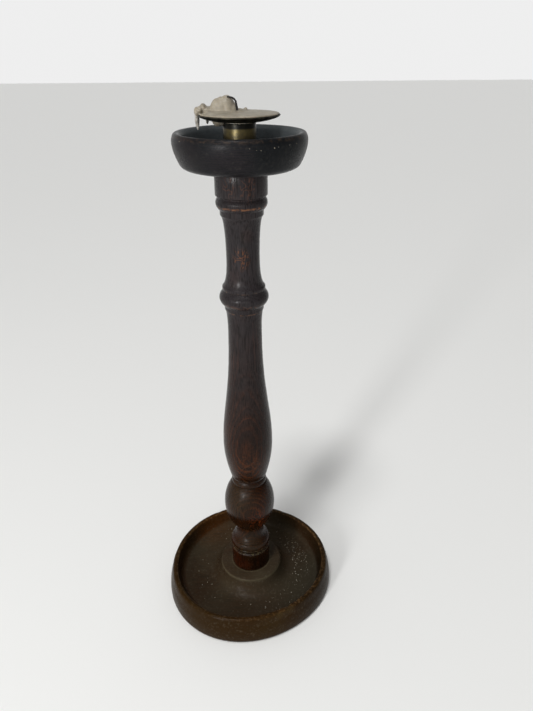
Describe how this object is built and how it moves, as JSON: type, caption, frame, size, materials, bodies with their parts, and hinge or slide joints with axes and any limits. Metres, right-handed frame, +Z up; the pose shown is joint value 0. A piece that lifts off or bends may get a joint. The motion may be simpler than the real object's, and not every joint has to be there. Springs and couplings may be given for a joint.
{
  "type": "wooden candlestick",
  "caption": "Turned oak candlestick with a dished base tray, a drip bowl and a lift-out brass nozzle that holds a burnt candle end.",
  "frame": {"origin": "centre of the base tray's underside, on the surface that the candlestick stands on", "axes": "+Z up along the column's turning axis; the wax mound and its runs are on the -X side; the front is -Y"},
  "size_m": [0.1687, 0.163, 0.4755],
  "materials": {
    "base_oak": "dark stained oak, waxed, dusty with wax specks",
    "column_oak": "dark stained oak, waxed to a satin shine",
    "wedge_oak": "end grain oak, unstained",
    "bowl_oak": "near-black stained oak, waxed",
    "tube_brass": "aged brass with a dull polish",
    "pan_brass": "tarnished brass",
    "candle_wax": "candle wax",
    "spilt_wax": "set candle wax, greyed with dust",
    "burnt_wick": "charred cotton"
  },
  "bodies": {
    "stand": {"base_tray": "base_oak", "stem": "column_oak", "foot_wedge": "wedge_oak", "drip_bowl": "bowl_oak"},
    "nozzle": {"nozzle_tube": "tube_brass", "nozzle_pan": "pan_brass", "nozzle_floor": "tube_brass"},
    "candle": {"candle_stub": "candle_wax", "wick": "burnt_wick", "wax_spill": "spilt_wax", "wax_drip_long": "spilt_wax", "wax_drip_short": "spilt_wax"}
  },
  "joints": [
    {"name": "nozzle_lift", "type": "slide", "parent": "stand", "child": "nozzle", "axis": [0, 0, 1], "range_m": [0, 0.035]},
    {"name": "candle_lift", "type": "slide", "parent": "nozzle", "child": "candle", "axis": [0, 0, 1], "range_m": [0, 0.055]}
  ]
}
